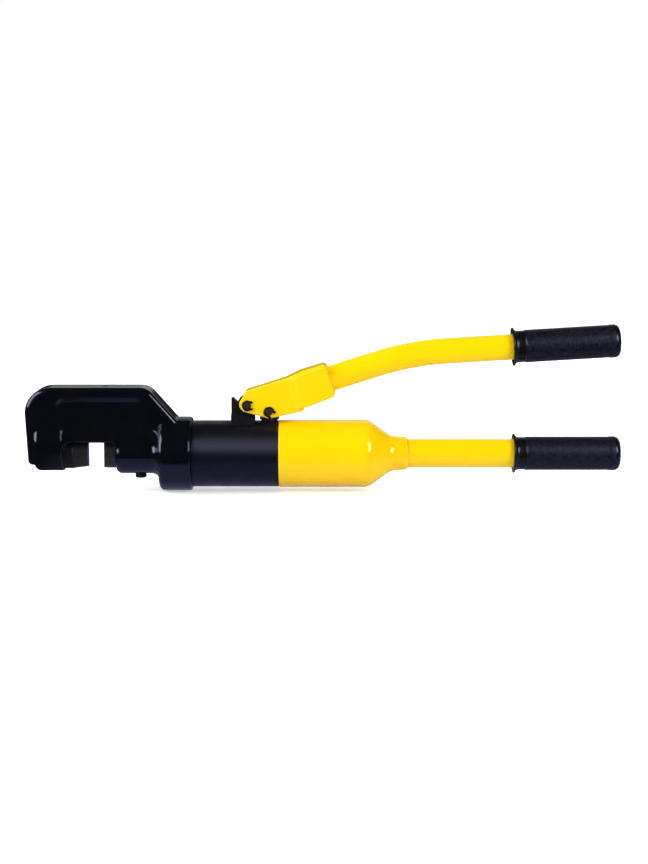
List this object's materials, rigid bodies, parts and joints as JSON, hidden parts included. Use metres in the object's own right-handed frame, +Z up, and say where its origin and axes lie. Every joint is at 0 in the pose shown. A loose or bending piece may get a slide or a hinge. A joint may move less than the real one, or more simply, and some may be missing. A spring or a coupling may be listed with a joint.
{
  "type": "hydraulic rebar cutter",
  "caption": "Hand-pumped hydraulic rebar cutter: forged C head with a fixed and a moving blade, ram cylinder, oil reservoir with a fixed handle, and a bent pump lever with rubber grips.",
  "frame": {"origin": "point where the ram axis meets the cutting edge of the fixed blade", "axes": "+X along the ram axis from the head towards the handle, +Y across the tool and along the bar being cut, +Z up towards the pump lever"},
  "size_m": [0.5918, 0.0854, 0.1664],
  "materials": {
    "black_enamel": "gloss",
    "black_satin": "satin",
    "black_oxide": "black oxide",
    "blade_steel": "hardened, dark",
    "ground_steel": "ground",
    "spring_steel": "drawn wire",
    "brass": "turned",
    "bronze": "turned",
    "seal_rubber": "smooth",
    "grip_rubber": "moulded",
    "hard_white_plastic": "matt",
    "black_plastic": "matt",
    "yellow_enamel": "gloss"
  },
  "bodies": {
    "tool_body": {"cutter_head": "black_enamel", "fixed_blade_holder": "blade_steel", "fixed_blade": "blade_steel", "fixed_blade_screw": "black_oxide", "guide_screw": "black_oxide", "rod_bush": "bronze", "rod_wiper": "seal_rubber", "return_spring": "spring_steel", "cylinder_barrel": "black_satin", "suction_seat_screw": "brass", "suction_spring": "spring_steel", "discharge_plug": "brass", "discharge_spring": "spring_steel", "relief_spring": "spring_steel", "relief_screw": "brass", "reservoir_shell": "yellow_enamel", "reservoir_o_ring": "seal_rubber", "oil_bladder": "seal_rubber", "bladder_clamp": "ground_steel", "filler_plug": "brass", "fixed_handle_tube": "yellow_enamel", "fixed_grip": "grip_rubber", "lever_bracket": "black_oxide", "pivot_pin": "black_oxide", "pivot_pin_rings": "black_oxide", "plunger_gland": "ground_steel", "plunger_seal": "seal_rubber"},
    "ram": {"ram": "ground_steel", "piston_seal": "seal_rubber", "piston_backup_ring": "hard_white_plastic", "moving_blade": "blade_steel", "moving_blade_screw": "black_oxide"},
    "lever": {"lever_yoke": "yellow_enamel", "lever_tube": "yellow_enamel", "lever_grip": "grip_rubber", "plunger_pin": "black_oxide", "plunger_pin_rings": "black_oxide"},
    "plunger": {"pump_plunger": "ground_steel"},
    "release_spindle": {"release_spindle": "ground_steel", "release_ball": "ground_steel"},
    "release_knob": {"release_knob": "black_plastic"},
    "suction_ball": {"suction_ball": "ground_steel"},
    "discharge_ball": {"discharge_ball": "ground_steel"},
    "relief_ball": {"relief_ball": "ground_steel"}
  },
  "joints": [
    {"name": "ram_slide", "type": "slide", "parent": "tool_body", "child": "ram", "axis": [-1, 0, 0], "range_m": [-0.012, 0.016], "deforming": ["return_spring"]},
    {"name": "lever_hinge", "type": "hinge", "parent": "tool_body", "child": "lever", "pos_m": [0.1591, 0, 0.0495], "axis": [0, -1, 0], "range_deg": [0, 40]},
    {"name": "plunger_slide", "type": "slide", "parent": "tool_body", "child": "plunger", "axis": [0, 0, 1], "range_m": [0, 0.01549]},
    {"name": "release_lift", "type": "slide", "parent": "tool_body", "child": "release_spindle", "axis": [0, 1, 0], "range_m": [0, 0.00075]},
    {"name": "release_turn", "type": "hinge", "parent": "release_spindle", "child": "release_knob", "pos_m": [0.1742, 0.0354, 0], "axis": [0, 1, 0], "range_deg": [0, 272]},
    {"name": "suction_ball_lift", "type": "slide", "parent": "tool_body", "child": "suction_ball", "axis": [-1, 0, 0], "range_m": [0, 0.0008], "stiffness_N_per_m": 200, "springref_m": -0.001, "deforming": ["suction_spring"]},
    {"name": "discharge_ball_lift", "type": "slide", "parent": "tool_body", "child": "discharge_ball", "axis": [-1, 0, 0], "range_m": [0, 0.0008], "stiffness_N_per_m": 200, "springref_m": -0.001, "deforming": ["discharge_spring"]},
    {"name": "relief_ball_lift", "type": "slide", "parent": "tool_body", "child": "relief_ball", "axis": [1, 0, 0], "range_m": [0, 0.0008], "stiffness_N_per_m": 200, "springref_m": -0.001, "deforming": ["relief_spring"]}
  ],
  "couplings": [
    {"joint": "plunger_slide", "follows": "lever_hinge", "m_per_rad": 0.021902},
    {"joint": "release_turn", "follows": "release_lift", "rad_per_m": 6283.2}
  ]
}
